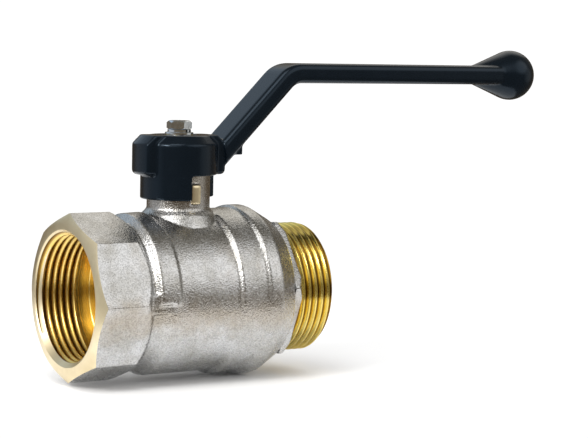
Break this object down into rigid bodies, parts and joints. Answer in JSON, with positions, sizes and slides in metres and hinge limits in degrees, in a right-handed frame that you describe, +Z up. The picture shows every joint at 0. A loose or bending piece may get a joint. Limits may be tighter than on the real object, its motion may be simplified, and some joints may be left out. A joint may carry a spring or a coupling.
{
  "type": "ball valve",
  "caption": "Lever-operated ball valve for threaded pipe, female end by male end, with a quarter-turn lever, floating ball, stem seals and gland.",
  "frame": {"origin": "centre of the ball, where the pipe axis crosses the stem axis", "axes": "+X along the pipe towards the male end and the lever's grip, +Z up along the stem, the female end at -X"},
  "size_m": [0.1806, 0.0548, 0.1059],
  "materials": {
    "plated_body": "satin nickel plating on blasted forged brass",
    "turned_brass": "bare turned brass",
    "ball_chrome": "polished chrome plating",
    "seat_plastic": "white PTFE",
    "rubber_seal": "black rubber",
    "lever_coating": "glossy blue-black powder coat",
    "zinc_steel": "bright zinc plating"
  },
  "bodies": {
    "valve_body": {"body": "plated_body", "end_connector": "plated_body", "connector_o_ring": "rubber_seal", "inlet_seat": "seat_plastic", "outlet_seat": "seat_plastic", "stem_thrust_washer": "seat_plastic", "stem_packing_lower": "seat_plastic", "stem_packing_upper": "seat_plastic", "gland_nut": "turned_brass"},
    "lever_and_stem": {"stem": "turned_brass", "stem_o_ring_lower": "rubber_seal", "stem_o_ring_upper": "rubber_seal", "lever": "lever_coating", "lever_washer": "zinc_steel", "lever_spring_washer": "zinc_steel", "lever_screw": "zinc_steel"},
    "flow_ball": {"ball": "ball_chrome"}
  },
  "joints": [
    {"name": "lever_turn", "type": "hinge", "parent": "valve_body", "child": "lever_and_stem", "pos_m": [0, 0, 0.04], "axis": [0, 0, 1], "range_deg": [-90, 0]},
    {"name": "ball_turn", "type": "hinge", "parent": "valve_body", "child": "flow_ball", "pos_m": [0, 0, 0], "axis": [0, 0, 1], "range_deg": [-90, 0]}
  ],
  "couplings": [
    {"joint": "ball_turn", "follows": "lever_turn", "ratio": 1}
  ]
}
